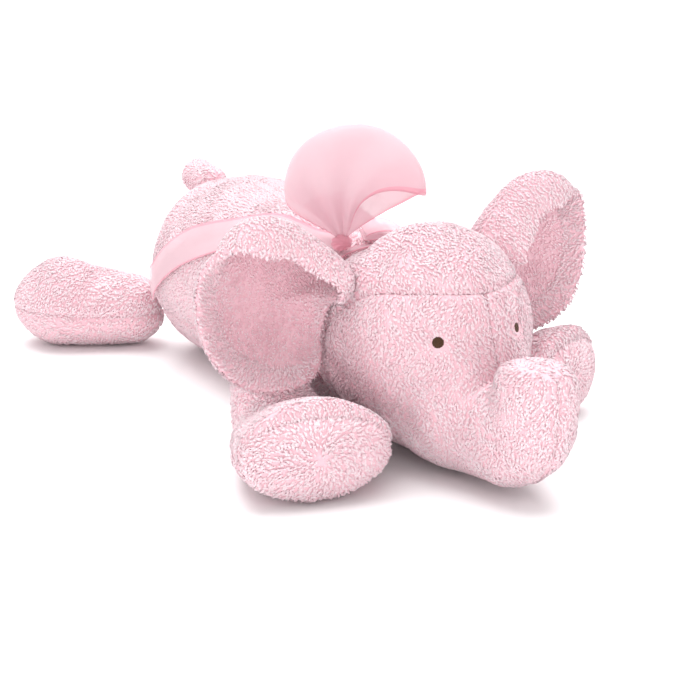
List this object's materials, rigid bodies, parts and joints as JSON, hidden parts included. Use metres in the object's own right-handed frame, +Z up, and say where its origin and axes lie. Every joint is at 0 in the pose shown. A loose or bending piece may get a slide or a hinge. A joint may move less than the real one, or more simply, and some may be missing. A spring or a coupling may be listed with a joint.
{
  "type": "stuffed elephant",
  "caption": "Plush elephant lying on its belly: sewn fleece panels over fillings, cupped ears, curled trunk, embroidered eyes and an organza neck bow.",
  "frame": {"origin": "on the floor, in the middle of the flat resting patch under the belly", "axes": "+Z up, -Y towards the head and trunk, +X to the left side of the elephant"},
  "size_m": [0.2777, 0.463, 0.1871],
  "materials": {
    "fleece": "long soft terry pile, pale pink",
    "ear_lining": "short smooth pile, deeper pink",
    "filling": "white polyester fibre filling",
    "eye_thread": "brown satin-stitch embroidery",
    "ribbon": "sheer pink organza"
  },
  "bodies": {
    "torso": {"torso_back_panel": "fleece", "torso_belly_panel": "fleece", "torso_filling": "filling", "ribbon_band": "ribbon", "ribbon_knot": "ribbon", "ribbon_loop_standing": "ribbon", "ribbon_loop_lying": "ribbon", "ribbon_tail_right": "ribbon", "ribbon_tail_left": "ribbon"},
    "head": {"head_crown_panel": "fleece", "head_face_right": "fleece", "head_face_left": "fleece", "head_filling": "filling", "eye_right": "eye_thread", "eye_left": "eye_thread"},
    "ear_right": {"ear_right_outer": "fleece", "ear_right_lining": "ear_lining"},
    "ear_left": {"ear_left_outer": "fleece", "ear_left_lining": "ear_lining"},
    "front_leg_right": {"front_leg_right_upper": "fleece", "front_leg_right_under": "fleece", "front_leg_right_sole": "fleece", "front_leg_right_filling": "filling"},
    "front_leg_left": {"front_leg_left_upper": "fleece", "front_leg_left_under": "fleece", "front_leg_left_sole": "fleece", "front_leg_left_filling": "filling"},
    "hind_leg_right": {"hind_leg_right_upper": "fleece", "hind_leg_right_under": "fleece", "hind_leg_right_filling": "filling"},
    "hind_leg_left": {"hind_leg_left_upper": "fleece", "hind_leg_left_under": "fleece", "hind_leg_left_filling": "filling"},
    "tail": {"tail_skin": "fleece", "tail_filling": "filling"}
  },
  "joints": [
    {"name": "neck_nod", "type": "hinge", "parent": "torso", "child": "head", "pos_m": [0, -0.062, 0.062], "axis": [-1, 0, 0], "range_deg": [0, 14]},
    {"name": "ear_right_flap", "type": "hinge", "parent": "head", "child": "ear_right", "pos_m": [-0.058, -0.072, 0.096], "axis": [0.15, 0, 0.9887], "range_deg": [-20, 12]},
    {"name": "ear_left_flap", "type": "hinge", "parent": "head", "child": "ear_left", "pos_m": [0.058, -0.072, 0.096], "axis": [0.15, 0, -0.9887], "range_deg": [-20, 8]},
    {"name": "shoulder_right", "type": "hinge", "parent": "torso", "child": "front_leg_right", "pos_m": [-0.068, -0.028, 0.027], "axis": [0, 0, -1], "range_deg": [0, 30]},
    {"name": "shoulder_left", "type": "hinge", "parent": "torso", "child": "front_leg_left", "pos_m": [0.068, -0.028, 0.027], "axis": [0, 0, 1], "range_deg": [0, 30]},
    {"name": "hip_right", "type": "hinge", "parent": "torso", "child": "hind_leg_right", "pos_m": [-0.058, 0.179, 0.027], "axis": [0, 0, -1], "range_deg": [-35, 20]},
    {"name": "hip_left", "type": "hinge", "parent": "torso", "child": "hind_leg_left", "pos_m": [0.058, 0.179, 0.027], "axis": [0, 0, 1], "range_deg": [-35, 20]},
    {"name": "tail_wag", "type": "hinge", "parent": "torso", "child": "tail", "pos_m": [0.002, 0.1734, 0.1115], "axis": [0, 0, 1], "range_deg": [-30, 30]}
  ]
}
